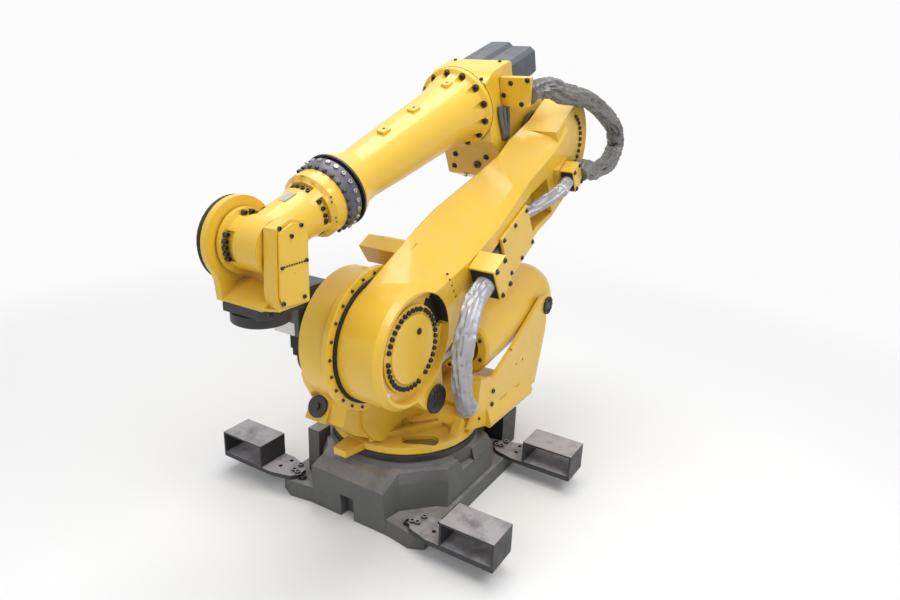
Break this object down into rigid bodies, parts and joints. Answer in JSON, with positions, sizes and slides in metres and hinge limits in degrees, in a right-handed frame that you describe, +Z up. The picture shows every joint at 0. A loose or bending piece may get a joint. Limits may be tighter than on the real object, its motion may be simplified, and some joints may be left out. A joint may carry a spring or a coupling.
{
  "type": "industrial robot arm",
  "caption": "Six-axis industrial robot arm with a turning base, spring balancer, jointed arm, hollow wrist flange and hose run, on a cast base with side fork pockets.",
  "frame": {"origin": "on the turning axis of the base, at the floor", "axes": "+X to the robot's front, which is where the arm points, +Y to its left, +Z up along the turning axis"},
  "size_m": [1.7896, 1.118, 1.5436],
  "materials": {
    "yellow_paint": "semi-gloss",
    "grey_cast": "matt painted",
    "black_steel": "satin",
    "pocket_steel": "worn",
    "motor_black": "satin",
    "hose_sleeve": "coated cloth",
    "bare_steel": "ground"
  },
  "bodies": {
    "base": {"base_casting": "grey_cast", "base_bearing_ring": "black_steel", "connector_box": "black_steel", "fork_pocket_front_left": "pocket_steel", "fork_pocket_front_right": "pocket_steel", "fork_pocket_rear_left": "pocket_steel", "fork_pocket_rear_right": "pocket_steel"},
    "turret": {"turret_casting": "yellow_paint", "shoulder_bearing_ring": "yellow_paint", "turret_plug": "black_steel", "balancer_bracket": "yellow_paint", "trunnion_cap_outer": "black_steel", "trunnion_cap_inner": "black_steel", "turn_motor": "motor_black", "shoulder_motor": "motor_black"},
    "balancer": {"balancer_barrel": "yellow_paint"},
    "balancer_rod": {"balancer_rod": "bare_steel"},
    "upper_arm": {"upper_arm_casting": "yellow_paint", "shoulder_cover": "yellow_paint", "pin_cap": "black_steel", "arm_cover_plate": "yellow_paint", "hose_clamp_lower": "yellow_paint", "hose_clamp_upper": "yellow_paint", "arm_hose": "hose_sleeve", "lower_hose": "hose_sleeve", "elbow_hose_lower": "hose_sleeve"},
    "elbow_unit": {"elbow_gear_ring": "black_steel", "elbow_hose_upper": "hose_sleeve"},
    "forearm": {"forearm_casing": "yellow_paint", "forearm_tube": "yellow_paint", "roll_bearing_ring": "black_steel", "roll_motor": "motor_black", "bend_motor": "motor_black", "flange_motor": "motor_black", "elbow_motor": "motor_black", "cable_plate": "yellow_paint", "cable_box": "yellow_paint"},
    "wrist": {"roll_gear_ring": "black_steel", "wrist_body": "yellow_paint"},
    "hand": {"wrist_fork": "yellow_paint", "fork_seal_ring": "black_steel", "fork_end_cap": "yellow_paint", "fork_cover_plate": "yellow_paint", "flange_base": "black_steel"},
    "tool": {"tool_flange": "black_steel"}
  },
  "joints": [
    {"name": "turn", "type": "hinge", "parent": "base", "child": "turret", "pos_m": [0, 0, 0.2363], "axis": [0, 0, 1], "range_deg": [-180, 180]},
    {"name": "shoulder", "type": "hinge", "parent": "turret", "child": "upper_arm", "pos_m": [0.312, 0, 0.67], "axis": [0, 1, 0], "range_deg": [0, 136], "deforming": ["lower_hose"]},
    {"name": "elbow_level", "type": "hinge", "parent": "upper_arm", "child": "elbow_unit", "pos_m": [-0.62822, 0, 1.19117], "axis": [0, 1, 0], "range_deg": [-136.5, 0.5], "deforming": ["elbow_hose_lower"]},
    {"name": "elbow", "type": "hinge", "parent": "elbow_unit", "child": "forearm", "pos_m": [-0.62822, 0, 1.19117], "axis": [0, 1, 0], "range_deg": [-248, 0], "deforming": ["elbow_hose_upper"]},
    {"name": "roll", "type": "hinge", "parent": "forearm", "child": "wrist", "pos_m": [0.36984, 0, 1.10704], "axis": [0.9521, 0, -0.3057], "range_deg": [-360, 360]},
    {"name": "bend", "type": "hinge", "parent": "wrist", "child": "hand", "pos_m": [0.65929, 0, 1.01411], "axis": [0, 1, 0], "range_deg": [-197, 53]},
    {"name": "flange_turn", "type": "hinge", "parent": "hand", "child": "tool", "pos_m": [0.65929, 0, 0.82411], "axis": [0, 0, -1], "range_deg": [-360, 360]},
    {"name": "balancer_tilt", "type": "hinge", "parent": "turret", "child": "balancer", "pos_m": [-0.565, 0.132, 0.571], "axis": [0, 1, 0], "range_deg": [-32.39, 0.5]},
    {"name": "balancer_rod_tilt", "type": "hinge", "parent": "upper_arm", "child": "balancer_rod", "pos_m": [0.20098, 0.132, 0.46971], "axis": [0, 1, 0], "range_deg": [-168.39, 0.5]}
  ],
  "couplings": [
    {"joint": "elbow_level", "follows": "shoulder", "ratio": -1},
    {"joint": "balancer_tilt", "follows": "shoulder", "ratio": -0.2345},
    {"joint": "balancer_rod_tilt", "follows": "shoulder", "ratio": -1.2345}
  ]
}
